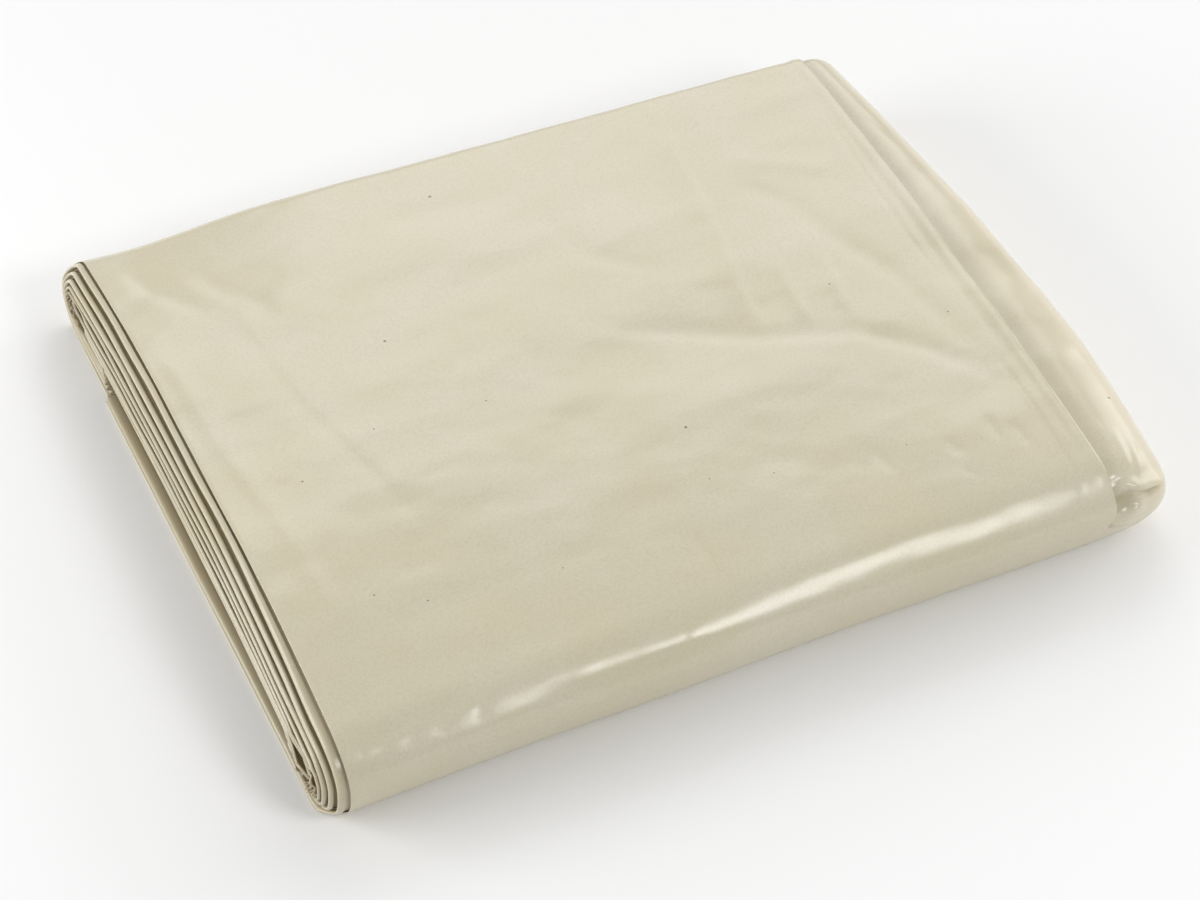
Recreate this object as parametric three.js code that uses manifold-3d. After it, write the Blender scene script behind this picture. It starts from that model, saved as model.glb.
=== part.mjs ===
// Folded cover sheet: one sheet, gathered into a long band of plies and then turned over and over on itself
// into a flat roll. Its two long sides are rounded folds, its left end shows the lips of the turns, and its
// right end is shut by a puffed-out fold. Millimetres. X runs along the rounded folds, Y from the near fold
// to the far one and +Z up, and the pack lies on z = 0.
import * as THREE from 'three';
import Module from 'manifold-3d';

// Driving sizes of the pack
const BAND_WIDTH = 330; // the top layer, from its left lip to its right edge
const HALF_WOUND = 24; // wound depth from the outer face in to the core, before the pack settles
const LAYER_GAP = 0.6; // between two turns, in the same wound depth
const NEAR_FOLD_REACH = 19; // from the near core to the near side
const FAR_FOLD_REACH = 13; // from the far core to the far side
const NEAR_EQUATOR = 27; // height at which the near fold stands out most
const FAR_EQUATOR = 21;
const FOLD_CORE_HEIGHT = 14; // the core lies low in both folds
const MIDDLE_CORE_HEIGHT = 24;
const CROWN_POWER = 2.6; // how evenly the crown is spread between the folds
const FREE_END_Y = 246; // where the sheet's outer end lies, under the pack
const STEP_UP_Y = 256; // where each turn starts to climb over that end
const END_OVERLAP = 4; // how far the shut end reaches in under the top layer
const END_DEPTH = 1.4; // and how deep it lies below the top layer's face
const END_FULLNESS = 0.8; // 1 is a round end, less is fuller
const LIP_WAVE = 0.5; // how far the lips of the turns wander
const LIP_WAVES = 5.5;

// Cross-section at places along the pack: its two sides, the heights over the two cores, and the crown
const SECTIONS = [
  { x: -12, nearSide: -1, farSide: 314, nearShoulder: 44, farShoulder: 36.5, crown: 10.5 },
  { x: 20, nearSide: -1, farSide: 310, nearShoulder: 44, farShoulder: 37, crown: 10.5 },
  { x: 80, nearSide: -0.5, farSide: 308, nearShoulder: 44.5, farShoulder: 41, crown: 9 },
  { x: 150, nearSide: 0, farSide: 303, nearShoulder: 45, farShoulder: 44, crown: 7.5 },
  { x: 240, nearSide: 1, farSide: 297, nearShoulder: 45, farShoulder: 46.5, crown: 6 },
  { x: 330, nearSide: 0, farSide: 292, nearShoulder: 44.5, farShoulder: 47.5, crown: 5 },
  { x: 370, nearSide: 0, farSide: 292, nearShoulder: 44, farShoulder: 47, crown: 5 },
];

// The turns from the outermost in: thickness of the layer, and how far its left lip stands out where the turn
// starts, under the pack, at the near fold, over the pack and at the far fold
const TURNS = [
  { thick: 3.5, start: 10.8, under: 9.3, near: 0.0, top: 0.0, far: 9.0 },
  { thick: 3.4, start: 2.0, under: 2.0, near: 2.7, top: 2.9, far: 9.1 },
  { thick: 3.2, start: 2.6, under: 2.6, near: 5.0, top: 5.5, far: 9.2 },
  { thick: 2.4, start: 3.6, under: 3.6, near: 6.8, top: 7.3, far: 9.3 },
  { thick: 2.2, start: 5.0, under: 5.0, near: 7.9, top: 8.2, far: 9.5 },
  { thick: 2.2, start: 6.6, under: 6.6, near: 8.6, top: 8.8, far: 9.7 },
  { thick: 2.2, start: 8.2, under: 8.2, near: 9.4, top: 9.6, far: 9.9 },
];

// Reach of the puffed-out right end beyond the top layer's edge, from the near core to the far one
const END_REACH = [
  { along: 0.0, reach: 32 },
  { along: 0.25, reach: 34.5 },
  { along: 0.5, reach: 31 },
  { along: 0.75, reach: 26 },
  { along: 1.0, reach: 21 },
];

// Steps of the mesh
const STATIONS = [0, 0.05, 0.13, 0.25, 0.4, 0.57, 0.75, 0.9, 1];
const SPAN_STEPS = 10;
const UNDER_STEPS = 6;
const FOLD_STEPS = 8;
const END_ANGLES = [0, 22, 44, 62, 76, 86];

const lerp = THREE.MathUtils.lerp;
const smoothstep = THREE.MathUtils.smoothstep;
const radians = THREE.MathUtils.degToRad;

// A smooth curve through one column of a table
function curveThrough(rows, key, column) {
  const places = rows.map((row) => row[key]);
  const values = rows.map((row) => row[column]);
  const curve = new THREE.CubicInterpolant(places, values, 1);
  return (place) => curve.evaluate(place)[0];
}

const nearSideAt = curveThrough(SECTIONS, 'x', 'nearSide');
const farSideAt = curveThrough(SECTIONS, 'x', 'farSide');
const nearShoulderAt = curveThrough(SECTIONS, 'x', 'nearShoulder');
const farShoulderAt = curveThrough(SECTIONS, 'x', 'farShoulder');
const crownAt = curveThrough(SECTIONS, 'x', 'crown');
const endReachAt = curveThrough(END_REACH, 'along', 'reach');

// Height of the pack's top face; along is 0 over the near core and 1 over the far one
function topHeight(x, along) {
  const spread = 1 - Math.abs(2 * along - 1) ** CROWN_POWER;
  return lerp(nearShoulderAt(x), farShoulderAt(x), along) + crownAt(x) * spread;
}

function coreHeight(along) {
  const spread = 1 - (2 * along - 1) ** 2;
  return lerp(FOLD_CORE_HEIGHT, MIDDLE_CORE_HEIGHT, spread);
}

// A place round the section is on one of the spans, by its share of the way from core to core, or on one of
// the folds, by its angle: 90 at the top, 0 at the side and -90 at the bottom
function outerPoint(x, place) {
  const nearCore = nearSideAt(x) + NEAR_FOLD_REACH;
  const farCore = farSideAt(x) - FAR_FOLD_REACH;
  if (place.part === 'top' || place.part === 'under') {
    const y = lerp(nearCore, farCore, place.along);
    return { y, z: place.part === 'top' ? topHeight(x, place.along) : 0 };
  }
  const angle = radians(place.angle);
  const isNear = place.part === 'near';
  const reach = isNear ? -NEAR_FOLD_REACH : FAR_FOLD_REACH;
  const equator = isNear ? NEAR_EQUATOR : FAR_EQUATOR;
  const y = (isNear ? nearCore : farCore) + reach * Math.cos(angle);
  const shoulder = topHeight(x, (y - nearCore) / (farCore - nearCore));
  const rise = angle > 0 ? shoulder - equator : equator;
  return { y, z: equator + rise * Math.sin(angle) };
}

function corePoint(x, place) {
  const along = { near: 0, far: 1 }[place.part] ?? place.along;
  const nearCore = nearSideAt(x) + NEAR_FOLD_REACH;
  const farCore = farSideAt(x) - FAR_FOLD_REACH;
  return { y: lerp(nearCore, farCore, along), z: coreHeight(along) };
}

// The point at a wound depth below the outer face; every turn is the outer one drawn in towards the core
function sectionPoint(x, place, depth) {
  const outer = outerPoint(x, place);
  const core = corePoint(x, place);
  const share = depth / HALF_WOUND;
  return new THREE.Vector3(x, lerp(outer.y, core.y, share), lerp(outer.z, core.z, share));
}

// How far the left lip stands out at a place of a turn; the lips of the top layers wander a little
function lipReach(turn, place, underEnd) {
  if (place.part === 'near') return lerp(turn.under, turn.near, smoothstep(place.angle, -90, -45));
  if (place.part === 'far') return lerp(turn.far, turn.top, smoothstep(place.angle, -30, 75));
  if (place.part === 'under' && place.along > underEnd) return turn.far;
  if (place.part === 'under') return lerp(turn.under, turn.start, place.along / underEnd);
  const wave = Math.sin(place.along * LIP_WAVES + 2 * TURNS.indexOf(turn));
  return turn.top + LIP_WAVE * wave * Math.sin(Math.PI * place.along);
}

function spanPlaces(part, from, to, steps) {
  return Array.from({ length: steps + 1 }, (_, i) => ({ part, along: lerp(from, to, i / steps) }));
}

function foldPlaces(part, from, to) {
  const steps = FOLD_STEPS;
  return Array.from({ length: steps - 1 }, (_, i) => ({ part, angle: lerp(from, to, (i + 1) / steps) }));
}

// The wound line of the sheet from its outer end, under the pack, in to the core
function woundLine() {
  const span = farSideAt(0) - FAR_FOLD_REACH - NEAR_FOLD_REACH;
  const freeEnd = (FREE_END_Y - NEAR_FOLD_REACH) / span;
  const stepUp = (STEP_UP_Y - NEAR_FOLD_REACH) / span;
  const line = [];
  let depth = 0;
  for (const turn of TURNS) {
    const round = [
      ...spanPlaces('under', freeEnd, 0, UNDER_STEPS),
      ...foldPlaces('near', -90, 90),
      ...spanPlaces('top', 0, 1, SPAN_STEPS),
      ...foldPlaces('far', 90, -90),
      ...spanPlaces('under', 1, stepUp, 1),
    ];
    for (const place of round) {
      const lip = lipReach(turn, place, freeEnd);
      line.push({ place, depth, thick: turn.thick, lip, isOutermost: turn === TURNS[0] });
    }
    depth += turn.thick + LAYER_GAP;
  }
  return line;
}

function meshFrom(points, triangles) {
  const vertProperties = new Float32Array(points.flatMap((point) => [point.x, point.y, point.z]));
  const volume = triangles.reduce((sum, [a, b, c]) => {
    const normal = new THREE.Vector3().crossVectors(points[b], points[c]);
    return sum + points[a].dot(normal);
  }, 0);
  const facingOut = volume > 0 ? triangles : triangles.map(([a, b, c]) => [a, c, b]);
  return { numProp: 3, vertProperties, triVerts: new Uint32Array(facingOut.flat()) };
}

function quad(a, b, c, d) {
  return [[a, b, c], [a, c, d]];
}

// The four-cornered faces of a strip between two neighbouring rows of points, seen as corner(row, face)
function edgeStrip(corner, row) {
  return quad(corner(row, 0), corner(row, 1), corner(row + 1, 1), corner(row + 1, 0));
}

// The wound sheet as one closed strip: an outer and an inner face, two ends across and two edges along
function woundSheet() {
  const line = woundLine();
  const columns = STATIONS.length;
  const points = [];
  const index = (row, column, face) => (row * columns + column) * 2 + face;
  for (const { place, depth, thick, lip, isOutermost } of line) {
    const right = isOutermost ? BAND_WIDTH : BAND_WIDTH - END_OVERLAP / 2;
    for (const station of STATIONS) {
      const x = lerp(-lip, right, station);
      points.push(sectionPoint(x, place, depth));
      points.push(sectionPoint(x, place, depth + thick));
    }
  }
  const triangles = [];
  const lastRow = line.length - 1;
  const lastColumn = columns - 1;
  for (let row = 0; row < lastRow; row += 1) {
    for (let column = 0; column < lastColumn; column += 1) {
      for (const face of [0, 1]) {
        const corners = [
          index(row, column, face),
          index(row + 1, column, face),
          index(row + 1, column + 1, face),
          index(row, column + 1, face),
        ];
        triangles.push(...quad(...(face ? corners.reverse() : corners)));
      }
    }
    triangles.push(...edgeStrip((place, face) => index(place, 0, face), row));
    triangles.push(...edgeStrip((place, face) => index(place, lastColumn, 1 - face), row));
  }
  for (let column = 0; column < lastColumn; column += 1) {
    triangles.push(...edgeStrip((place, face) => index(0, place, 1 - face), column));
    triangles.push(...edgeStrip((place, face) => index(lastRow, place, face), column));
  }
  return meshFrom(points, triangles);
}

// The shut right end: rings that draw in from just under the top layer to the core, as a pillow's end does
function shutEnd() {
  const halfTurn = [
    { part: 'near', angle: 0 },
    ...foldPlaces('near', -90, 90).filter((place) => place.angle > 0),
    ...spanPlaces('top', 0, 1, SPAN_STEPS),
    ...foldPlaces('far', 90, -90).filter((place) => place.angle > 0),
    { part: 'far', angle: 0 },
  ];
  const mirrored = (place) => (
    place.part === 'top' ? { ...place, part: 'under' } : { ...place, angle: -place.angle }
  );
  const ring = [...halfTurn, ...halfTurn.slice(1, -1).reverse().map(mirrored)];
  const points = [];
  const addRing = (angle, inward) => {
    for (const place of ring) {
      const along = { near: 0, far: 1 }[place.part] ?? place.along;
      const out = Math.sin(radians(angle)) ** END_FULLNESS;
      const drawnIn = 1 - Math.cos(radians(angle)) ** END_FULLNESS;
      const x = BAND_WIDTH - inward + endReachAt(along) * out;
      const depth = lerp(END_DEPTH, HALF_WOUND, drawnIn);
      points.push(sectionPoint(x, place, depth));
    }
  };
  addRing(0, END_OVERLAP);
  END_ANGLES.forEach((angle) => addRing(angle, 0));

  const count = ring.length;
  const triangles = [];
  for (let row = 0; row < END_ANGLES.length; row += 1) {
    for (let i = 0; i < count; i += 1) {
      const next = (i + 1) % count;
      const a = row * count;
      triangles.push(...quad(a + i, a + next, a + count + next, a + count + i));
    }
  }
  const closeRing = (start, isFirst) => {
    for (let i = 0; i < count / 2; i += 1) {
      const opposite = [(count - i - 1) % count, (count - i) % count];
      const corners = [i, i + 1, ...opposite].map((corner) => start + corner);
      const faces = quad(...(isFirst ? corners.reverse() : corners));
      triangles.push(...faces.filter((face) => new Set(face).size === 3));
    }
  };
  closeRing(0, true);
  closeRing(END_ANGLES.length * count, false);
  return meshFrom(points, triangles);
}

const wasm = await Module();
wasm.setup();
const wound = new wasm.Manifold(new wasm.Mesh(woundSheet()));
const end = new wasm.Manifold(new wasm.Mesh(shutEnd()));
const joined = wound.add(end).getMesh();

const geometry = new THREE.BufferGeometry();
geometry.setAttribute('position', new THREE.BufferAttribute(joined.vertProperties, 3));
geometry.setIndex(new THREE.BufferAttribute(joined.triVerts, 1));
geometry.computeBoundingBox();
const middle = geometry.boundingBox.getCenter(new THREE.Vector3());
geometry.translate(-middle.x, -middle.y, -geometry.boundingBox.min.z);
geometry.computeVertexNormals();

const creamFilm = new THREE.MeshStandardMaterial({ color: 0xcfc8ae, roughness: 0.38, metalness: 0 });
const foldedSheet = new THREE.Mesh(geometry, creamFilm);
foldedSheet.name = 'folded_sheet';

const pack = new THREE.Group();
pack.add(foldedSheet);
export default pack;
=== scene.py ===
import math
from collections import namedtuple

import bmesh
import bpy
import numpy as np
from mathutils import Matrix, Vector


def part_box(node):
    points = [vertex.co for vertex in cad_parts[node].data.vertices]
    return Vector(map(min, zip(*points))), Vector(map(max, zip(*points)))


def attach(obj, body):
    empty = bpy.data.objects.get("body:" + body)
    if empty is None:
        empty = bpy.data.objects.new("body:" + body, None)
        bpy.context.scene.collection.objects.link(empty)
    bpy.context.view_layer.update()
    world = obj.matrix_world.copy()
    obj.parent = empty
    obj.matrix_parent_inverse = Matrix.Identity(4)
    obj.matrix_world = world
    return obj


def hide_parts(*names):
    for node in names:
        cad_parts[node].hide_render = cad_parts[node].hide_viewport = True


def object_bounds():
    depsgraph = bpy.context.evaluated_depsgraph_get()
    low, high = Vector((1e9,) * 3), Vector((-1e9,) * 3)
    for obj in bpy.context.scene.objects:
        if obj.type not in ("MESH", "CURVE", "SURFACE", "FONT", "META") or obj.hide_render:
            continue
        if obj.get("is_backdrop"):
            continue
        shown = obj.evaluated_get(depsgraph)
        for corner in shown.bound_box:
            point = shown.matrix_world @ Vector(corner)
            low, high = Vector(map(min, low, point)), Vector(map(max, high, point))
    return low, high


NODE = "folded_sheet"
METRES = 0.001  # a millimetre

# Driving sizes of the pack, the same as the solid's
BAND_WIDTH = 330.0  # the top layer, from its left lip to its right edge
HALF_WOUND = 24.0  # wound depth from the outer face in to the core, before the pack settles
LAYER_GAP = 0.6  # between two turns, in the same wound depth
NEAR_FOLD_REACH = 19.0  # how far a fold's side lies out from its core
FAR_FOLD_REACH = 13.0
NEAR_EQUATOR = 27.0  # height at which a fold reaches out furthest
FAR_EQUATOR = 21.0
FOLD_CORE_HEIGHT = 14.0
MIDDLE_CORE_HEIGHT = 24.0
CROWN_POWER = 2.6  # higher gives a flatter top with rounder shoulders
FREE_END_Y = 252.8  # where the sheet's outer end lies, under the pack
STEP_UP_Y = 253.6  # where the second turn starts, beyond the outer end
END_FULLNESS = 0.8  # lower gives a fuller puffed end
NEAREST_SIDE = -1.0  # y of the pack's near side, where it reaches out furthest
LONGEST_LIP = 10.8  # how far the longest lip stands out to the left of the top layer
NEAR_ROLL_RADIUS = 21.0  # mean radius of the outer layer round a fold, for rolling it out flat
FAR_ROLL_RADIUS = 18.0

# Cross-section at places along the pack: its two sides, the heights over the two cores, and the crown
SECTIONS = [
    {"x": -12, "near_side": -1, "far_side": 314, "near_shoulder": 44.0, "far_shoulder": 36.5, "crown": 10.5},
    {"x": 20, "near_side": -1, "far_side": 310, "near_shoulder": 44.0, "far_shoulder": 37.0, "crown": 10.5},
    {"x": 80, "near_side": -0.5, "far_side": 308, "near_shoulder": 44.5, "far_shoulder": 41.0, "crown": 9.0},
    {"x": 150, "near_side": 0, "far_side": 303, "near_shoulder": 45.0, "far_shoulder": 44.0, "crown": 7.5},
    {"x": 240, "near_side": 1, "far_side": 297, "near_shoulder": 45.0, "far_shoulder": 46.5, "crown": 6.0},
    {"x": 330, "near_side": 0, "far_side": 292, "near_shoulder": 44.5, "far_shoulder": 47.5, "crown": 5.0},
    {"x": 370, "near_side": 0, "far_side": 292, "near_shoulder": 44.0, "far_shoulder": 47.0, "crown": 5.0},
]

# The turns from the outermost in: thickness of the bundle of plies, how far its left lip stands out where the
# turn starts, under the pack, at the bottom of the near fold, at the near side, over the pack and at the far
# fold. Then the place under the pack where the lip steps back, the length over which it draws back to the
# recess over the flap, and how far it draws in round the far core
TURNS = [
    {"thick": 3.5, "start": 10.6, "under": 9.1, "bottom": 9.1, "near": 4.7, "top": 3.1, "far": 9.2},
    {"thick": 3.4, "start": -2.0, "under": -3.0, "bottom": 7.4, "near": 7.1, "top": 5.7, "far": 9.3},
    {"thick": 3.2, "start": -2.0, "under": -3.0, "bottom": 8.9, "near": 8.5, "top": 7.4, "far": 9.4},
    {"thick": 2.4, "start": 4.5, "under": 2.0, "bottom": 9.6, "near": 9.4, "top": 8.3, "far": 9.5},
    {"thick": 2.2, "start": 7.5, "under": 6.5, "bottom": 10.0, "near": 9.9, "top": 9.1, "far": 9.7},
    {"thick": 2.2, "start": 9.0, "under": 8.7, "bottom": 10.2, "near": 10.2, "top": 10.1, "far": 9.9},
    {"thick": 2.2, "start": 9.5, "under": 9.7, "bottom": 10.3, "near": 10.3, "top": 10.0, "far": 9.4},
]
STEP_BACKS = [0, 24, 37, 37.5, 38, 40, 43]
STEP_BACK_WIDTH = 2.5
RECESS_ENDS = [1.2, 1.2, 1.2, 1.6, 14, 14, 14]
CORE_HOLLOWS = [0, 0, 0, 0, 0.5, 1.5, 3.0]

# The band's outermost ply, its cover, has a lip of its own: how far it stands out at the same places
COVER_PLY = {"start": 10.8, "under": 9.3, "bottom": 9.3, "near": 0.0, "top": 0.0, "far": 9.0}
PLY_THICK = 0.45
PLY_GAP = 0.3
PLY_SLOT = 3.0  # how deep the slot under the cover ply's lip goes in
PLY_UNDERSIDE = 1.5  # how far in from its lip the cover ply's underside lies flat
HIDDEN_PLY = 1.5  # how far the cover ply stays behind the lips in the turns beneath
LIP_STRETCH = 1.5  # length of a bundle's rounded lip, in its own half thickness
LIP_MARGIN = 3.5  # width over which the painted shade on the inner face behind a lip deepens
GROOVE_DEPTH = 0.26  # depth of the groove behind a lip, in the bundle's thickness
GROOVE_OUTSET = 0.2  # how far out from the lip above the groove lies, in the width of the step between them
GROOVE_MARGIN = 0.3  # the least width between the groove and its own rounded lip
RIGHT_TAPER = (6.0, 8.0)  # widths in from the right edge between which a turn thins down to its cover ply
TAPER_RISE = 0.1  # what is added to the cover ply's thickness where it meets the taper

# Where a lip's reach changes from one place to the next: angles round a fold, or shares of the span
LIP_CHANGES = {"near": (-90, -45), "top": (0, 0.4), "far": (-30, 75)}

# Waviness of every lip, and the crinkling of the inner turns' lips round the cores
LIP_WAVE = {"height": 0.3, "length": 26.0, "seed": 11, "turn_spacing": 3.7}
CORE_CRINKLE = {"height": 2.4, "length": 3.3, "seed": 12, "turn_spacing": 5.3}
CRINKLE_STARTS = (2.5, 5.5)  # turns between which the crinkling round the cores sets in
CRINKLED_TURN = 4  # from this turn on, the lips by the cores get painted shade
CRINKLE_SHADE = 0.5
CORE_ZONE = (0.4, 0.47)  # shares of the span, out from its middle, over which the zone of a core sets in
FLAP_CORNER = 1.2  # radius of the lowest layer's free corner
WALL_FADES = (254.6, 256.8)  # places under the pack between which the painted shade on the recess's end wall fades out
HOLLOW_STARTS = (278, 292)  # places under the pack between which the far core's hollow sets in

# Reach of the puffed-out right end beyond the top layer's edge, from the near core to the far one
END_REACH = [
    {"along": 0.0, "reach": 32.0},
    {"along": 0.25, "reach": 34.5},
    {"along": 0.5, "reach": 31.0},
    {"along": 0.75, "reach": 26.0},
    {"along": 1.0, "reach": 21.0},
]
END_OVERLAP = 4.0  # how far the puffed end reaches in under the top layer's right edge
END_DEPTH = 1.1  # how deep it starts below that edge
FLUSH_END_DEPTH = 0.2  # the same under the pack, where the two are all but flush
FLUSH_ANGLES = (-45, 30)  # angles round a fold between which the first depth takes over from the second
END_SPREAD = 40.0  # width of the puffed end when it is smoothed out flat
END_HILL_SHARE = 0.4  # height of the film's unevenness there, in that of the top layer
END_CREASES_FADE = (88, 60)  # angles round the puff, from its outer side back, between which relief sets in
DARK_TROUGH = 3.0  # depth of crease at which the painted shade in a trough of the puff would reach 1
# The most painted shade that a trough of the puff gets
DARKEST_TROUGH = 0.7

# Soft unevenness of the film: size of the hills along the pack and across it, and their height
UNEVENNESS = [
    {"along": 70.0, "across": 34.0, "height": 0.75},
    {"along": 30.0, "across": 13.0, "height": 0.32},
    {"along": 9.0, "across": 6.0, "height": 0.08},
]
HILL_START = (7, 9)  # where in the noise the hills start, in hills along and across
CREASE_FADES = (-0.1, 0.22)  # shares of a crease's run over which it rises at its ends
RELIEF_FADES = 4  # power with which the relief dies away in the turns beneath
PRESSED_ANGLES = (-80, -35)  # angles round a fold below which the pack's weight flattens the relief

# Creases of the top layer: a run of points (x, y), its widths to the left and right of the
# run, and its rise (less than 0 is a trough). Beyond a fold's core, y goes on as the length round the fold.
CREASES = [
    {"run": [(256, 276), (249, 229), (245, 193), (237, 147), (238, 133)], "widths": (2.2, 7), "rise": 0.76},
    {"run": [(250, 283), (250, 262)], "widths": (1.5, 3), "rise": -0.3},
    {"run": [(259, 166), (256, 129)], "widths": (2.5, 4), "rise": 0.5},
    {"run": [(278, 164), (274, 124)], "widths": (2.5, 4), "rise": 0.5},
    {"run": [(176, 159), (235, 127), (272, 114), (294, 94), (313, 69)], "widths": (7, 4), "rise": -0.76},
    {"run": [(266, 218), (281, 195), (287, 170), (301, 138), (310, 93)], "widths": (6, 5), "rise": -0.68},
    {"run": [(270, 231), (309, 208)], "widths": (5, 5), "rise": 0.5},
    {"run": [(322, 243), (320, 217), (317, 155), (319, 125)], "widths": (1.6, 1.6), "rise": -0.34},
    {"run": [(324, 234), (323, 174), (322, 119), (322, 85)], "widths": (1.6, 1.6), "rise": -0.3},
    {"run": [(318, 77), (318, 55), (318, 32), (317, 6)], "widths": (1.6, 1.6), "rise": -0.38},
    {"run": [(327, 340), (327, 150), (327, 20), (327, 6)], "widths": (2.5, 1.8), "rise": 0.48},
    {"run": [(3, 7), (13, 7), (36, 8), (50, 10), (59, 15), (68, 15)], "widths": (4, 3), "rise": -0.38},
    {"run": [(14, -10), (28, -8), (42, -6), (63, -6), (83, -6)], "widths": (7, 1.7), "rise": 0.8},
    {"run": [(44, 8), (38, -1)], "widths": (4, 4), "rise": -0.26},
    {"run": [(58, 12), (53, -2)], "widths": (4, 4), "rise": -0.26},
    {"run": [(30, 6), (25, -4)], "widths": (4, 4), "rise": -0.26},
    {"run": [(18, 6), (14, -4)], "widths": (4, 4), "rise": -0.2},
    {"run": [(9, 9), (8, 2)], "widths": (1.5, 1.5), "rise": -0.26},
    {"run": [(56, 16), (52, 1)], "widths": (2, 2), "rise": 0.19},
    {"run": [(42, 235), (49, 173), (59, 132), (70, 92)], "widths": (1.8, 6), "rise": -0.24},
    {"run": [(7, 234), (10, 203), (12, 159), (18, 119), (20, 66), (16, 43)], "widths": (5, 4), "rise": 0.43},
    {"run": [(14, 288), (18, 267), (27, 252), (36, 240)], "widths": (7, 5), "rise": -0.68},
    {"run": [(37, 268), (45, 249), (54, 238), (58, 222)], "widths": (6, 6), "rise": -0.5},
    {"run": [(131, 209), (133, 207)], "widths": (3, 3), "rise": -0.43},
    {"run": [(119, 259), (150, 258), (181, 253)], "widths": (8, 8), "rise": -0.68},
    {"run": [(182, 234), (188, 202), (209, 183)], "widths": (6, 4), "rise": -0.5},
    {"run": [(164, 46), (165, 31), (164, 10)], "widths": (1.5, 3), "rise": -0.3},
    {"run": [(248, 56), (251, 41)], "widths": (1.5, 3), "rise": -0.3},
    {"run": [(145, 4), (144, -2)], "widths": (1.5, 1.5), "rise": 0.34},
    {"run": [(298, 54), (297, 40)], "widths": (2, 3), "rise": -0.3},
    {"run": [(306, 47), (307, 33)], "widths": (2, 3), "rise": -0.34},
    {"run": [(277, 49), (280, 39)], "widths": (2, 3), "rise": -0.3},
    {"run": [(275, 33), (282, 26)], "widths": (2, 2), "rise": -0.26},
    {"run": [(90, 2), (144, 0), (199, -5), (255, -8), (350, -7)], "widths": (9, 2.4), "rise": 0.64},
]

# Creases of the puffed right end, in the same way; past the band's edge, x is the length out over the puff
END_CREASES = [
    {"run": [(331, 310), (331, 150), (331, 20), (331, -8)], "widths": (3, 2.5), "rise": -0.6},
    {"run": [(334, 2), (336.2, -1.9), (339.8, -3), (346, -3), (352, -1)], "widths": (6, 1), "rise": 2.2},
    {"run": [(331.8, 4.7), (333.6, -0.8), (336.2, -10.7)], "widths": (4, 1.4), "rise": 2.0},
    {"run": [(336.2, -10.7), (333.6, -15.1), (329, -19)], "widths": (4, 1.4), "rise": 2.0},
    {"run": [(331, -1), (332.5, -8), (331, -14)], "widths": (3.5, 4), "rise": -1.4},
    {"run": [(333.2, 0), (334.6, -5), (335.8, -10.7)], "widths": (1.2, 1.2), "rise": -1.4},
    {"run": [(334.5, -1), (337.5, -5), (342, -6), (350, -5)], "widths": (1.5, 3), "rise": -1.5},
    {"run": [(337, 35), (333, 10)], "widths": (1.4, 1.4), "rise": 0.4},
    {"run": [(339, 31), (336, 7)], "widths": (1.4, 1.4), "rise": 0.4},
    {"run": [(343, 24), (339, 1)], "widths": (1.4, 1.4), "rise": 0.4},
    {"run": [(328, 178), (344, 179)], "widths": (1.5, 1.5), "rise": 0.2},
    {"run": [(328, 165), (351, 171)], "widths": (7, 5), "rise": 0.3},
    {"run": [(328, 110), (347, 115)], "widths": (7, 5), "rise": 0.3},
    {"run": [(330, 73), (349, 77)], "widths": (7, 5), "rise": 0.3},
    {"run": [(329, 190), (346, 197)], "widths": (5, 5), "rise": -0.3},
    {"run": [(329, 134), (348, 139)], "widths": (5, 5), "rise": -0.3},
    {"run": [(329, 91), (346, 94)], "widths": (5, 5), "rise": -0.3},
    {"run": [(334, 240), (342, 215)], "widths": (3, 3), "rise": -0.2},
]

# Specks in the film: place on the top face and radius
SPECKS = [
    {"x": 145, "y": 267, "radius": 0.9},
    {"x": 93, "y": 190, "radius": 0.8},
    {"x": 184, "y": 95, "radius": 0.8},
    {"x": 34, "y": 131, "radius": 0.6},
    {"x": 70, "y": 145, "radius": 0.5},
    {"x": 117, "y": 141, "radius": 0.5},
    {"x": 273, "y": 143, "radius": 0.5},
    {"x": 311, "y": 110, "radius": 0.5},
    {"x": 38, "y": 66, "radius": 0.5},
    {"x": 56, "y": 56, "radius": 0.5},
    {"x": 181, "y": 67, "radius": 0.4},
    {"x": 110, "y": 50, "radius": 0.4},
    {"x": 261, "y": 52, "radius": 0.4},
    {"x": 206, "y": 60, "radius": 0.4},
    {"x": 352, "y": 47, "radius": 0.8},
]

# The sheet's colours: where it lies thick or thin, its grain, the puffed end painted paler as lit through,
# the painted shade between the folds, its specks
THICK_CREAM = (0.61, 0.555, 0.405, 1)
THIN_CREAM = (0.62, 0.575, 0.445, 1)
GRAIN_CREAM = (0.545, 0.495, 0.355, 1)
# Painted light: the puffed end paler, for light shining through its thin film
PUFF_LIT_CREAM = (0.72, 0.645, 0.48, 1)
# Painted shade: brown between the folds, and darker brown in the deepest places
FOLD_SHADE_BROWN = (0.31, 0.245, 0.135, 1)
DEEP_SHADE_BROWN = (0.14, 0.105, 0.055, 1)
SPECK_BROWN = (0.1, 0.09, 0.06, 1)
GRAIN_SHARE = 0.5
PUFF_LIT_SHARE = 0.75
FOLD_SHADE_SHARE = 0.85
DEEP_SHADE_SHARE = 0.55
SPECK_SHARE = 0.75

# The levels of a mask at which a mottle, a grain or the deepest painted shade sets in, and over how much it
# does
MOTTLE_LEVELS = (0.35, 0.35)
GRAIN_LEVELS = (0.35, 0.4)
DEEP_SHADE_LEVELS = (0.72, 0.28)

# The film's finish, with its sizes in metres
MOTTLE_SIZE = 0.045
GRAIN_SIZE = 0.0011
GLOSS_SIZE = 0.02
CRINKLE_SIZE = 0.014
CRINKLE_STRETCH = (0.5, 1, 1)
CRINKLE_HEIGHT = 0.0006
CRINKLE_STRENGTH = 0.35
PUFF_FADE = 0.03  # width over which the puffed end's paler colour, painted light through its thin film, sets in
LEAST_ROUGHNESS = 0.21
ROUGHNESS_RANGE = 0.06

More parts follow.
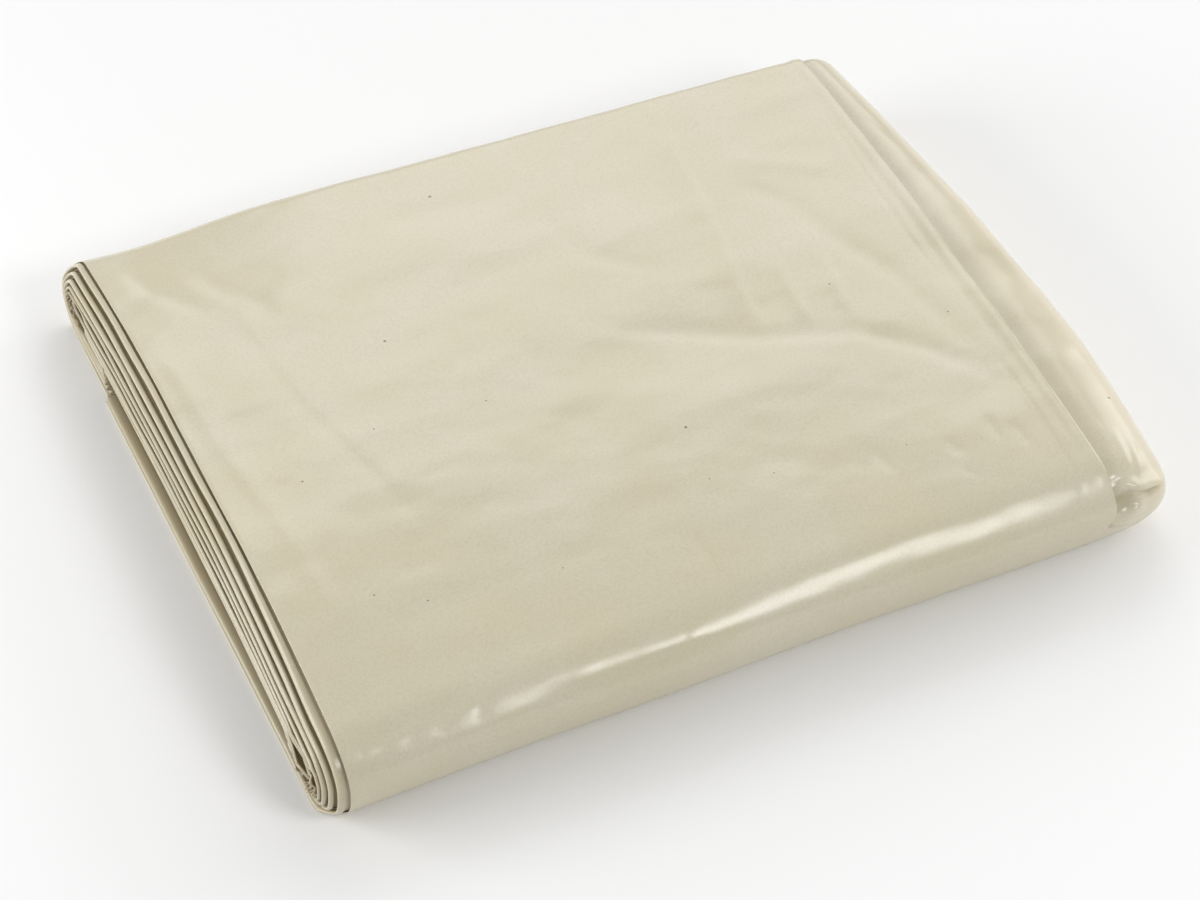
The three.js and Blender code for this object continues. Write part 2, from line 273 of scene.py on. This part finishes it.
# Soft studio lights: place and size of the square in metres, and power in watts
SOFTBOXES = [
    {"name": "back_softbox", "place": (0.85, 1.5, 1.15), "size": 1.5, "power": 14.0},
    {"name": "right_softbox", "place": (1.7, 0.3, 0.6), "size": 1.0, "power": 9.2},
    {"name": "left_softbox", "place": (-1.1, 0.3, 0.42), "size": 0.8, "power": 9.2},
    {"name": "overhead_softbox", "place": (0.45, -0.96, 0.97), "size": 0.4, "power": 5.8},
    {"name": "front_softbox", "place": (-0.5, -1.7, 0.6), "size": 1.4, "power": 1.0},
]
AIR_LIGHT = 0.43
FLOOR_WHITE = (0.9, 0.9, 0.9, 1)
FLOOR_ROUGHNESS = 0.8
FLOOR_SIZE = 8

# Steps of the mesh
UNDER_ROWS = [252.8, 252.4, 251.6, 250, 200, 150, 100, 60]
UNDER_ROWS += [47, 45, 42, 40, 39, 38, 37, 33, 28, 27, 26, 25, 24, 19]
FAR_UNDER_ROWS = [297, 294, 291, 288, 285, 280, 272, 266, 262, 259, 257, 255.6, 254.8, 254.2, 253.6]
TOP_STEPS = 36
FOLD_STEPS = 18
TOP_REFINED = 5  # fine rows for each coarse one, on the outer face of the outermost turn
FOLD_REFINED = 2
FACE_PLACES = [0, 0.13, 0.27, 0.41, 0.55, 0.69, 0.82, 0.92, 1]  # coarse columns across the band's face
COLUMN_REFINED = 26  # fine columns for each coarse one
LIP_ANGLES = [-62, -35, -10, 15, 40, 65, 90]  # from the underside of a lip round to its crest
LIP_SHADES = [0.6, 0.4, 0.28, 0.22, 0.22, 0.3, 0.45]  # painted shade at those points, by how deep between the folds they lie
# Painted shade in the slot under the cover ply's lip and in the groove behind a lip
SLOT_SHADE = 0.6
GROOVE_SHADE = 0.7
PLY_LIP_ANGLES = [-90, -40, 0, 40, 90]
END_TOP_STEPS = 100
END_NEAR_STEPS = 88
END_FAR_STEPS = 36
END_STEPS = 42
WELD_DISTANCE = 1e-6

# The photograph's viewpoint, in degrees and metres, and its lens and sensor in millimetres
CAMERA_AZIMUTH = -24.597
CAMERA_ELEVATION = 46.887
CAMERA_DISTANCE = 1.4579
CAMERA_TARGET = (-0.00912, -0.01462, 0.0)
CAMERA_LENS = 104.85
CAMERA_SENSOR = 36
CAMERA_CLIP_START = 0.05

# One row of points across the wound band
Row = namedtuple("Row", "turn part amount depth is_coarse is_fine")


def lerp(start, end, share):
    return start + (end - start) * share


def smoothstep(value, low, high):
    share = np.clip((value - low) / (high - low), 0, 1)
    return share * share * (3 - 2 * share)


def curve_through(rows, key, column):
    """A smooth curve through one column of a table."""
    places = np.array([row[key] for row in rows], float)
    values = np.array([row[column] for row in rows], float)
    slopes = np.gradient(values, places)

    def value_at(place):
        place = np.clip(place, places[0], places[-1])
        i = np.clip(np.searchsorted(places, place) - 1, 0, len(places) - 2)
        step = places[i + 1] - places[i]
        t = (place - places[i]) / step
        level = values[i] * (1 + 2 * t) * (1 - t) ** 2 + values[i + 1] * t * t * (3 - 2 * t)
        return level + step * (slopes[i] * t * (1 - t) ** 2 + slopes[i + 1] * t * t * (t - 1))

    return value_at


near_side_at = curve_through(SECTIONS, "x", "near_side")
far_side_at = curve_through(SECTIONS, "x", "far_side")
near_shoulder_at = curve_through(SECTIONS, "x", "near_shoulder")
far_shoulder_at = curve_through(SECTIONS, "x", "far_shoulder")
crown_at = curve_through(SECTIONS, "x", "crown")
end_reach_at = curve_through(END_REACH, "along", "reach")


def near_core_at(x):
    return near_side_at(x) + NEAR_FOLD_REACH


def far_core_at(x):
    return far_side_at(x) - FAR_FOLD_REACH


def top_height(x, along):
    """Height of the pack's top face; along is 0 over the near core and 1 over the far one."""
    spread = 1 - np.abs(2 * along - 1) ** CROWN_POWER
    return lerp(near_shoulder_at(x), far_shoulder_at(x), along) + crown_at(x) * spread


# A place round the section is on one of the spans, by its share of the way from core to core, or on one of
# the folds, by its angle: 90 at the top, 0 at the side and -90 at the bottom
def outer_point(x, part, amount):
    near_core, far_core = near_core_at(x), far_core_at(x)
    if part in ("top", "under"):
        height = top_height(x, amount) if part == "top" else np.zeros_like(x)
        return lerp(near_core, far_core, amount), height
    angle = math.radians(amount)
    is_near = part == "near"
    core = near_core if is_near else far_core
    reach = -NEAR_FOLD_REACH if is_near else FAR_FOLD_REACH
    equator = NEAR_EQUATOR if is_near else FAR_EQUATOR
    y = core + reach * math.cos(angle)
    shoulder = top_height(x, (y - near_core) / (far_core - near_core))
    rise = shoulder - equator if angle > 0 else equator
    return y, equator + rise * math.sin(angle)


def share_along(part, amount):
    return {"near": 0.0, "far": 1.0}.get(part, amount)


def core_point(x, part, amount):
    """The point of the core that a place round the section draws in to."""
    along = share_along(part, amount)
    height = lerp(FOLD_CORE_HEIGHT, MIDDLE_CORE_HEIGHT, 1 - (2 * along - 1) ** 2)
    return lerp(near_core_at(x), far_core_at(x), along), height


def unrolled(x, part, amount):
    """Place across the pack when the outer layer is rolled out flat: y on the top, and on round the folds."""
    if part == "near":
        return near_core_at(x) - math.radians(90 - amount) * NEAR_ROLL_RADIUS
    if part == "far":
        return far_core_at(x) + math.radians(90 - amount) * FAR_ROLL_RADIUS
    return lerp(near_core_at(x), far_core_at(x), amount)


def soft_noise(u, v, seed):
    """Smooth unevenness between -1 and 1, with hills about one unit apart; it repeats after 64 of them."""
    size = 64
    grid = np.random.default_rng(seed).uniform(-1, 1, (size, size))
    i, j = np.floor(u).astype(int), np.floor(v).astype(int)
    s, t = smoothstep(u - i, 0, 1), smoothstep(v - j, 0, 1)
    i, j = i % size, j % size
    after_i, after_j = (i + 1) % size, (j + 1) % size
    near_row = lerp(grid[i, j], grid[after_i, j], s)
    return lerp(near_row, lerp(grid[i, after_j], grid[after_i, after_j], s), t)


def crease_height(crease, x, v):
    """Height that one crease adds: round across, with a width for each side, and fading out at its ends."""
    points = np.array(crease["run"], float)
    steps = np.diff(points, axis=0)
    lengths = np.hypot(*steps.T)
    starts = np.concatenate([[0], np.cumsum(lengths)])
    nearest = np.full(np.shape(x), np.inf)
    travelled = np.zeros(np.shape(x))
    width = np.ones(np.shape(x))
    left_width, right_width = crease["widths"]
    for (px, pv), (dx, dv), length, start in zip(points, steps, lengths, starts):
        share = np.clip(((x - px) * dx + (v - pv) * dv) / length**2, 0, 1)
        away_x, away_v = x - px - share * dx, v - pv - share * dv
        distance = np.hypot(away_x, away_v)
        closer = distance < nearest
        nearest = np.where(closer, distance, nearest)
        travelled = np.where(closer, start + share * length, travelled)
        is_left = dx * away_v - dv * away_x > 0
        width = np.where(closer, np.where(is_left, left_width, right_width), width)
    ends = np.minimum(travelled, starts[-1] - travelled) / starts[-1]
    return crease["rise"] * np.exp(-((nearest / width) ** 2)) * smoothstep(ends, *CREASE_FADES)


def relief(x, v, creases, hill_share=1.0):
    """How far the film stands out from the plain pack, over the outer layer rolled out flat."""
    height = np.zeros(np.shape(x))
    start_along, start_across = HILL_START
    for seed, hills in enumerate(UNEVENNESS):
        rise = hills["height"] * hill_share
        u = x / hills["along"] + start_along
        height += rise * soft_noise(u, v / hills["across"] + start_across, seed)
    for crease in creases:
        height += crease_height(crease, x, v)
    return height


def relief_share(part, amount):
    """1 where the film lies free, fading to 0 where the pack's weight presses it to the floor."""
    if part == "top":
        return 1.0
    return 0.0 if part == "under" else smoothstep(amount, *PRESSED_ANGLES)


def section_points(x, part, amount, depth):
    """Points at wound depths below the outer face; every turn is the outer one drawn in towards the core."""
    outer_y, outer_z = outer_point(x, part, amount)
    core_y, core_z = core_point(x, part, amount)
    share = depth / HALF_WOUND
    return np.stack([x, lerp(outer_y, core_y, share), lerp(outer_z, core_z, share)], axis=-1)


def creased_points(x, part, amount, depth):
    """The same points with the film's relief, which dies away in the turns beneath."""
    plain = section_points(x, part, amount, depth)
    face = section_points(x, part, amount, np.zeros_like(x))
    core = section_points(x, part, amount, np.full_like(x, HALF_WOUND))
    outward = face - core
    outward /= np.linalg.norm(outward, axis=-1)[:, None]
    height = relief(x, unrolled(x, part, amount), CREASES) * relief_share(part, amount)
    return plain + outward * (height * (1 - depth / HALF_WOUND) ** RELIEF_FADES)[:, None]


def edge_depth(part, amount):
    """How deep the puffed end starts under the top layer's edge; the two are flush under the pack."""
    if part == "top":
        return END_DEPTH
    if part == "under":
        return FLUSH_END_DEPTH
    return lerp(FLUSH_END_DEPTH, END_DEPTH, smoothstep(amount, *FLUSH_ANGLES))


def lip_reach(lips, turn, part, amount):
    """How far a lip stands out at a place of its turn, which ends level with the start of the next one."""
    if part == "near":
        return lerp(lips["bottom"], lips["near"], smoothstep(amount, *LIP_CHANGES[part]))
    if part == "top":
        return lerp(lips["near"], lips["top"], smoothstep(amount, *LIP_CHANGES[part]))
    if part == "far":
        return lerp(lips["far"], lips["top"], smoothstep(amount, *LIP_CHANGES[part]))
    y = unrolled(0.0, part, amount)
    if y > FREE_END_Y:
        next_start = TURNS[min(turn + 1, len(TURNS) - 1)]["start"]
        return lerp(next_start, lips["far"], smoothstep(y, STEP_UP_Y, STEP_UP_Y + RECESS_ENDS[turn]))
    step = STEP_BACKS[turn]
    stepped = lerp(lips["bottom"], lips["under"], smoothstep(y, step, step + STEP_BACK_WIDTH))
    return lerp(stepped, lips["start"], y / FREE_END_Y)


def near_cores(part, amount):
    """1 at the two folds and fading to 0 a little way in from them."""
    return 1.0 if part in ("near", "far") else smoothstep(abs(amount - 0.5), *CORE_ZONE)


def waves(shape, turn, place):
    """Waviness along a lip, different in each turn."""
    row = turn * shape["turn_spacing"]
    return shape["height"] * soft_noise(place / shape["length"], row, shape["seed"])


def lip_change(turn, part, amount):
    """What a place adds to a lip's reach: its waviness, the crinkled cores and the flap's round corner."""
    place = unrolled(0.0, part, amount)
    change = waves(LIP_WAVE, turn, place)
    change += near_cores(part, amount) * smoothstep(turn, *CRINKLE_STARTS) * waves(CORE_CRINKLE, turn, place)
    by_far_core = 1.0 if part == "far" else smoothstep(place, *HOLLOW_STARTS)
    change -= by_far_core * CORE_HOLLOWS[turn]
    if turn == 0 and part == "under":
        past = np.clip((place - FREE_END_Y + FLAP_CORNER) / FLAP_CORNER, 0, 1)
        change -= FLAP_CORNER * (1 - math.sqrt(1 - past**2))
    return change


def lip_at(turn, part, amount):
    """How far the lip of one turn stands out at a place, all told."""
    return lip_reach(TURNS[turn], turn, part, amount) + lip_change(turn, part, amount)


def turn_places(top_refined, fold_refined):
    """The places of one turn, from under the pack round to under it again, and whether each is coarse."""
    span = far_core_at(0) - near_core_at(0)
    for y in UNDER_ROWS:
        yield "under", (y - near_core_at(0)) / span, True
    folds_and_top = [
        ("near", -90, 90, FOLD_STEPS, fold_refined),
        ("top", 0, 1, TOP_STEPS, top_refined),
        ("far", 90, -90, FOLD_STEPS, fold_refined),
    ]
    for part, start, end, steps, refined in folds_and_top:
        count = steps * refined
        first, last = (0, count) if part == "top" else (1, count - 1)
        for i in range(first, last + 1):
            yield part, lerp(start, end, i / count), i % refined == 0
    for y in FAR_UNDER_ROWS:
        yield "under", (y - near_core_at(0)) / span, True


def wound_rows():
    """The rows of the wound band from its outer end, under the pack, in to the core."""
    rows = []
    depth = 0.0
    for turn, sizes in enumerate(TURNS):
        refined = (TOP_REFINED, FOLD_REFINED) if turn == 0 else (1, 1)
        for part, amount, is_coarse in turn_places(*refined):
            is_fine = turn == 0 and part != "under"
            rows.append(Row(turn, part, amount, depth, is_coarse, is_fine))
        depth += sizes["thick"] + LAYER_GAP
    return rows


def band_profile(turn, ply_reach, above_reach, reach):
    """The closed outline of the band, and the range of columns of its outer face. A point has its x, its
    depth, and its painted shade by how deep it lies between the folds, from 0 on the open face to 1.

    It starts in the slot under the cover ply's lip, goes round that lip, over the outer face to the right
    edge, back along the inner face, round the bundle's own lip and down into the groove behind it."""
    thick = TURNS[turn]["thick"]
    right = BAND_WIDTH if turn == 0 else BAND_WIDTH - END_OVERLAP / 2
    ply_radius = PLY_THICK / 2
    bundle_top = PLY_THICK + PLY_GAP
    bundle_radius = (thick - bundle_top) / 2
    lip_length = bundle_radius * LIP_STRETCH
    outline = [(-ply_reach + PLY_SLOT, PLY_THICK + PLY_GAP / 2, SLOT_SHADE)]
    outline.append((-ply_reach + PLY_UNDERSIDE, PLY_THICK, SLOT_SHADE))
    for angle in map(math.radians, PLY_LIP_ANGLES):
        along = ply_radius * (1 - math.cos(angle))
        outline.append((-ply_reach + along, ply_radius * (1 - math.sin(angle)), 0))
    left_columns = len(outline) - 1
    columns = np.linspace(0, len(FACE_PLACES) - 1, (len(FACE_PLACES) - 1) * COLUMN_REFINED + 1)
    shares = np.interp(columns, np.arange(len(FACE_PLACES)), FACE_PLACES)
    face = lerp(outline[-1][0], right - ply_radius, shares)
    outline += [(x, 0, 0) for x in face[1:]]
    right_columns = len(outline) - 1
    for angle in map(math.radians, PLY_LIP_ANGLES[::-1][1:]):
        along = ply_radius * (1 - math.cos(angle))
        outline.append((right - along, ply_radius * (1 - math.sin(angle)), 0))
    taper_start, taper_end = RIGHT_TAPER
    outline += [(right - taper_start, PLY_THICK + TAPER_RISE, 1), (right - taper_end, thick, 1)]
    inner = np.linspace(right - taper_end, -reach + lip_length + LIP_MARGIN, len(FACE_PLACES))
    outline += [(x, thick, 1) for x in inner[1:]]
    outline.append((-reach + lip_length, thick, GROOVE_SHADE))
    for angle, shade in zip(LIP_ANGLES, LIP_SHADES):
        angle = math.radians(angle)
        depth = bundle_top + bundle_radius * (1 - math.sin(angle))
        outline.append((-reach + lip_length * (1 - math.cos(angle)), depth, shade))
    tread = max(reach - above_reach, 0)
    groove = max(-above_reach - GROOVE_OUTSET * tread, -reach + lip_length + GROOVE_MARGIN)
    outline.append((groove, bundle_top + GROOVE_DEPTH * thick, GROOVE_SHADE))
    return np.array(outline), left_columns, right_columns


def row_outline(row):
    """The band's outline at one row, with its painted shades, and the range of columns of its outer face."""
    reach = lip_at(row.turn, row.part, row.amount)
    if row.turn == 0:
        ply = above = lip_reach(COVER_PLY, 0, row.part, row.amount)
    else:
        above = lip_at(row.turn - 1, row.part, row.amount)
        ply = min(above, reach) - HIDDEN_PLY
    outline, left, right = band_profile(row.turn, ply, above, reach)
    # Painted shade on the crinkled inner lips round the cores
    if row.turn >= CRINKLED_TURN and near_cores(row.part, row.amount) > 0.5:
        outline[outline[:, 2] < 1, 2] += CRINKLE_SHADE
    y = unrolled(0.0, row.part, row.amount)
    # Painted shade on the recess's end wall over the flap, fading out along the pack
    if row.part == "under" and y > FREE_END_Y:
        outline[:, 2] = np.maximum(outline[:, 2], 1 - smoothstep(y, *WALL_FADES))
    return outline, left, right


def has_point(row, column, left, right):
    """Whether a row has a point in this column: fine rows on the outer face alone, coarse ones all round."""
    on_face = left < column < right
    on_patch = column <= right + len(PLY_LIP_ANGLES)
    is_kept = not on_face or (column - left) % COLUMN_REFINED == 0
    return (row.is_fine and on_patch) or (row.is_coarse and is_kept)


def wound_band():
    """Points and faces of the wound band, fine on the outer face and coarse in the turns beneath it."""
    rows = wound_rows()
    points = []
    grid = []
    for row in rows:
        outline, left, right = row_outline(row)
        places = creased_points(outline[:, 0], row.part, row.amount, row.depth + outline[:, 1])
        indices = []
        for column, point in enumerate(np.column_stack([places, outline[:, 2]])):
            if has_point(row, column, left, right):
                indices.append(len(points))
                points.append(point)
            else:
                indices.append(None)
        grid.append(indices)
    return points, band_faces(rows, grid)


def band_faces(rows, grid):
    """Faces of the wound band, cell by cell, with its two cut ends."""
    coarse_rows = [i for i, row in enumerate(rows) if row.is_coarse]
    coarse_columns = [j for j, index in enumerate(grid[0]) if index is not None] + [len(grid[0])]
    faces = []
    for top, bottom in zip(coarse_rows, coarse_rows[1:]):
        for left, right in zip(coarse_columns, coarse_columns[1:]):
            faces += cell_faces(grid, top, bottom, left, right)
    faces.append([index for index in grid[0] if index is not None])
    faces.append([index for index in grid[-1] if index is not None][::-1])
    return faces


def cell_faces(grid, top, bottom, left, right):
    """Faces of one coarse cell: small ones where all its points are there, or else one face with all the
    points that lie on its border."""
    wrap = len(grid[0])
    block = [[grid[i][j % wrap] for j in range(left, right + 1)] for i in range(top, bottom + 1)]
    if all(index is not None for line in block for index in line):
        return [
            [upper[j], lower[j], lower[j + 1], upper[j + 1]]
            for upper, lower in zip(block, block[1:])
            for j in range(right - left)
        ]
    border = [line[0] for line in block]
    border += block[-1][1:]
    border += [line[-1] for line in block[-2::-1]]
    border += block[0][-2:0:-1]
    return [[index for index in border if index is not None]]


def end_ring():
    """The places round the section at which the puffed end has its rows."""
    spans = [
        ("near", -90, 90, END_NEAR_STEPS),
        ("top", 0, 1, END_TOP_STEPS),
        ("far", 90, -90, END_FAR_STEPS),
        ("under", 1, 0, END_TOP_STEPS),
    ]
    return [(part, lerp(start, end, i / steps)) for part, start, end, steps in spans for i in range(steps)]


def surface_normals(grid):
    """Directions square to a grid of points whose rows close into a ring."""
    across = np.roll(grid, -1, axis=0) - np.roll(grid, 1, axis=0)
    normals = np.cross(np.gradient(grid, axis=1), across)
    return normals / (np.linalg.norm(normals, axis=-1)[..., None] + 1e-9)


def ring_faces(row_count, column_count):
    """Four-sided faces of a grid of points whose last row joins its first."""
    faces = []
    for i in range(row_count):
        row = i * column_count
        after = (i + 1) % row_count * column_count
        for j in range(column_count - 1):
            faces.append([row + j, row + j + 1, after + j + 1, after + j])
    return faces


def shut_end():
    """Points and faces of the puffed-out right end. Each row starts at the core, rises to just under the top
    layer, runs out past the layer's edge, and goes round the puff and in to the core again."""
    ring = end_ring()
    angles = np.concatenate([[0, 0], np.linspace(0, 90, END_STEPS + 1)])
    out = np.sin(np.radians(angles)) ** END_FULLNESS
    drawn_in = 1 - np.abs(np.cos(np.radians(angles))) ** END_FULLNESS
    start = np.full(len(angles), BAND_WIDTH)
    start[:2] -= END_OVERLAP
    spread = start + END_SPREAD * angles / 90
    plain = []
    heights = []
    for part, amount in ring:
        x = start + end_reach_at(share_along(part, amount)) * out
        depth = lerp(edge_depth(part, amount), HALF_WOUND, drawn_in)
        depth[0] = HALF_WOUND
        plain.append(section_points(x, part, amount, depth))
        height = relief(spread, unrolled(x, part, amount), END_CREASES, END_HILL_SHARE)
        heights.append(height * relief_share(part, amount))
    plain = np.array(plain)
    heights = np.array(heights)
    fade = smoothstep(angles, *END_CREASES_FADE)
    fade[0] = 0
    creased = plain + surface_normals(plain) * (heights * fade)[..., None]
    # Painted shade in the troughs of the puff's creases
    shades = np.clip(-heights / DARK_TROUGH, 0, DARKEST_TROUGH)
    points = np.concatenate([creased, shades[..., None]], axis=-1).reshape(-1, 4)
    return points, ring_faces(len(ring), len(angles))


def frame_shift():
    """From the pack's own millimetres, with x from the top layer's left edge, to the part's frame."""
    low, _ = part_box(NODE)
    return np.array([low.x / METRES + LONGEST_LIP, low.y / METRES - NEAREST_SIDE, 0])


def sheet_object(shift):
    """The whole sheet as one mesh in the part's frame, in metres, with nothing below the floor."""
    build = bmesh.new()
    # Painted shade at each point: 0 on the open face, up to 1 deep between the folds
    painted_fold_shade = build.verts.layers.float.new("painted_fold_shade")
    for points, faces in (wound_band(), shut_end()):
        corners = []
        for x, y, z, shade in points:
            place = (np.array([x, y, max(z, 0)]) + shift) * METRES
            corners.append(build.verts.new(place))
            corners[-1][painted_fold_shade] = shade
        for face in faces:
            build.faces.new([corners[index] for index in face])
    bmesh.ops.remove_doubles(build, verts=build.verts, dist=WELD_DISTANCE)
    bmesh.ops.recalc_face_normals(build, faces=build.faces)
    mesh = bpy.data.meshes.new("film_sheet")
    build.to_mesh(mesh)
    build.free()
    mesh.shade_smooth()
    sheet = bpy.data.objects.new("film_sheet", mesh)
    bpy.context.scene.collection.objects.link(sheet)
    return sheet


class Value:
    """A number in a material; arithmetic on it adds Math nodes."""

    def __init__(self, shader, socket):
        self.shader = shader
        self.socket = socket

    def math(self, operation, first, second):
        return self.shader.value("ShaderNodeMath", {"operation": operation}, {0: first, 1: second})

    def __add__(self, other):
        return self.math("ADD", self, other)

    __radd__ = __add__

    def __sub__(self, other):
        return self.math("SUBTRACT", self, other)

    def __rsub__(self, other):
        return self.math("SUBTRACT", other, self)

    def __mul__(self, other):
        return self.math("MULTIPLY", self, other)

    __rmul__ = __mul__

    def above(self, threshold, softness):
        """0 below the threshold, 1 from a little above it."""
        sockets = {"Value": self, "From Min": threshold, "From Max": threshold + softness}
        return self.shader.value("ShaderNodeMapRange", {"interpolation_type": "SMOOTHSTEP"}, sockets)


class Shader:
    """The nodes of one material."""

    def __init__(self, name):
        self.material = bpy.data.materials.new(name)
        self.material.use_nodes = True
        self.tree = self.material.node_tree
        self.surface = self.tree.nodes["Principled BSDF"]
        self.coordinates = self.node("ShaderNodeTexCoord").outputs["Object"]

    def node(self, kind, settings=None, sockets=None):
        made = self.tree.nodes.new(kind)
        for name, setting in (settings or {}).items():
            setattr(made, name, setting)
        for name, value in (sockets or {}).items():
            self.feed(made.inputs[name], value)
        return made

    def feed(self, socket, value):
        if isinstance(value, Value):
            value = value.socket
        if isinstance(value, bpy.types.NodeSocket):
            self.tree.links.new(value, socket)
        else:
            socket.default_value = value

    def value(self, kind, settings=None, sockets=None):
        return Value(self, self.node(kind, settings, sockets).outputs[0])

    def noise(self, size, detail, stretch=(1, 1, 1)):
        """Cloudy noise with patches of about that size in metres."""
        mapping = self.node("ShaderNodeMapping", None, {"Vector": self.coordinates, "Scale": stretch})
        sockets = {"Vector": mapping.outputs[0], "Scale": 1 / size, "Detail": detail}
        return self.value("ShaderNodeTexNoise", None, sockets)

    def mix(self, share, first, second):
        """A colour between two colours."""
        made = self.node("ShaderNodeMix", {"data_type": "RGBA"}, {0: share, 6: first, 7: second})
        return made.outputs[2]


def speck_mask(shader, shift):
    """1 inside the specks and 0 elsewhere, seen straight down."""
    flat = shader.node(
        "ShaderNodeVectorMath",
        {"operation": "MULTIPLY"},
        {0: shader.coordinates, 1: (1, 1, 0)},
    )
    mask = 0
    for speck in SPECKS:
        place = tuple((np.array([speck["x"], speck["y"], 0]) + shift) * METRES)
        distance = shader.node(
            "ShaderNodeVectorMath",
            {"operation": "DISTANCE"},
            {0: flat.outputs[0], 1: place},
        )
        half_radius = speck["radius"] * METRES / 2
        away = Value(shader, distance.outputs["Value"])
        mask = mask + (1 - away.above(half_radius, half_radius))
    return mask


def film_colour(shader, shift):
    """Faintly mottled cream with fine grain, painted paler at the puffed end as if lit through, and painted
    shade in brown between the folds.
    """
    mottle = shader.noise(MOTTLE_SIZE, detail=3).above(*MOTTLE_LEVELS)
    colour = shader.mix(mottle, THICK_CREAM, THIN_CREAM)
    grain = shader.noise(GRAIN_SIZE, detail=1).above(*GRAIN_LEVELS)
    colour = shader.mix(grain * GRAIN_SHARE, colour, GRAIN_CREAM)
    along = shader.node("ShaderNodeSeparateXYZ", None, {0: shader.coordinates}).outputs["X"]
    # Painted light: the puffed end made paler, for light shining through its thin film
    puff_start = (BAND_WIDTH + shift[0]) * METRES
    puff_lit = Value(shader, along).above(puff_start, PUFF_FADE)
    colour = shader.mix(puff_lit * PUFF_LIT_SHARE, colour, PUFF_LIT_CREAM)
    # Painted shade between the folds: brown, and darker brown in the deepest places
    shade = shader.node("ShaderNodeAttribute", {"attribute_name": "painted_fold_shade"}).outputs["Fac"]
    painted_fold_shade = Value(shader, shade)
    colour = shader.mix(painted_fold_shade * FOLD_SHADE_SHARE, colour, FOLD_SHADE_BROWN)
    colour = shader.mix(painted_fold_shade.above(*DEEP_SHADE_LEVELS) * DEEP_SHADE_SHARE, colour, DEEP_SHADE_BROWN)
    return shader.mix(speck_mask(shader, shift) * SPECK_SHARE, colour, SPECK_BROWN)


def film_material(shift):
    """Cream polyethylene film: satin, finely crinkled, with a few dark specks."""
    shader = Shader("cream_film")
    surface = shader.surface
    shader.feed(surface.inputs["Base Color"], film_colour(shader, shift))
    gloss = shader.noise(GLOSS_SIZE, detail=2)
    shader.feed(surface.inputs["Roughness"], LEAST_ROUGHNESS + ROUGHNESS_RANGE * gloss)
    crinkle = shader.noise(CRINKLE_SIZE, detail=2, stretch=CRINKLE_STRETCH)
    sockets = {"Strength": CRINKLE_STRENGTH, "Distance": CRINKLE_HEIGHT, "Height": crinkle}
    bump = shader.node("ShaderNodeBump", None, sockets)
    shader.feed(surface.inputs["Normal"], bump.outputs[0])
    return shader.material


def floor_material():
    shader = Shader("studio_floor")
    shader.feed(shader.surface.inputs["Base Color"], FLOOR_WHITE)
    shader.feed(shader.surface.inputs["Roughness"], FLOOR_ROUGHNESS)
    return shader.material


def add_camera():
    azimuth, elevation = math.radians(CAMERA_AZIMUTH), math.radians(CAMERA_ELEVATION)
    level = math.cos(elevation)
    back = Vector((math.sin(azimuth) * level, -math.cos(azimuth) * level, math.sin(elevation)))
    camera = bpy.data.objects.new("camera", bpy.data.cameras.new("camera"))
    camera.data.lens = CAMERA_LENS
    camera.data.sensor_width = CAMERA_SENSOR
    camera.data.sensor_fit = "HORIZONTAL"
    camera.data.clip_start = CAMERA_CLIP_START
    camera.location = Vector(CAMERA_TARGET) + back * CAMERA_DISTANCE
    camera.rotation_euler = back.to_track_quat("Z", "Y").to_euler()
    bpy.context.scene.collection.objects.link(camera)
    bpy.context.scene.camera = camera


def add_softbox(name, place, size, power):
    """A square soft light at a place, turned to the pack."""
    light = bpy.data.lights.new(name, "AREA")
    light.size = size
    light.energy = power
    box = bpy.data.objects.new(name, light)
    box.location = place
    box.rotation_euler = Vector(place).to_track_quat("Z", "Y").to_euler()
    bpy.context.scene.collection.objects.link(box)


def add_floor():
    bpy.ops.mesh.primitive_plane_add(size=FLOOR_SIZE, location=(0, 0, 0))
    floor = bpy.context.active_object
    floor.name = "studio_floor"
    floor.data.materials.append(floor_material())
    floor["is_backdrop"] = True


def add_lights():
    """The softboxes and an even light from all round."""
    for softbox in SOFTBOXES:
        add_softbox(**softbox)
    world = bpy.data.worlds.new("studio_air")
    world.use_nodes = True
    air = world.node_tree.nodes["Background"]
    air.inputs["Color"].default_value = (1, 1, 1, 1)
    air.inputs["Strength"].default_value = AIR_LIGHT
    bpy.context.scene.world = world


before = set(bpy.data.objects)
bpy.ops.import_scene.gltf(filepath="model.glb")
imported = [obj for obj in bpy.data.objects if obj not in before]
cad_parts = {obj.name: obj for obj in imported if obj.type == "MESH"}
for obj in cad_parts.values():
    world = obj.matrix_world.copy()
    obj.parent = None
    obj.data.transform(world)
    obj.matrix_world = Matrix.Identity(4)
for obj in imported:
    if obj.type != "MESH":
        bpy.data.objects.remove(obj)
cad_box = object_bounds()
bpy.ops.object.select_all(action="DESELECT")
bpy.context.scene.view_settings.view_transform = "Standard"

add_camera()
add_floor()
add_lights()
film_shift = frame_shift()
film_sheet = sheet_object(film_shift)
film_sheet.data.materials.append(film_material(film_shift))
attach(film_sheet, "root")
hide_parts(NODE)

boxes = {"cad": cad_box, "visual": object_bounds()}
{name: [list(corner) for corner in box] for name, box in boxes.items()}
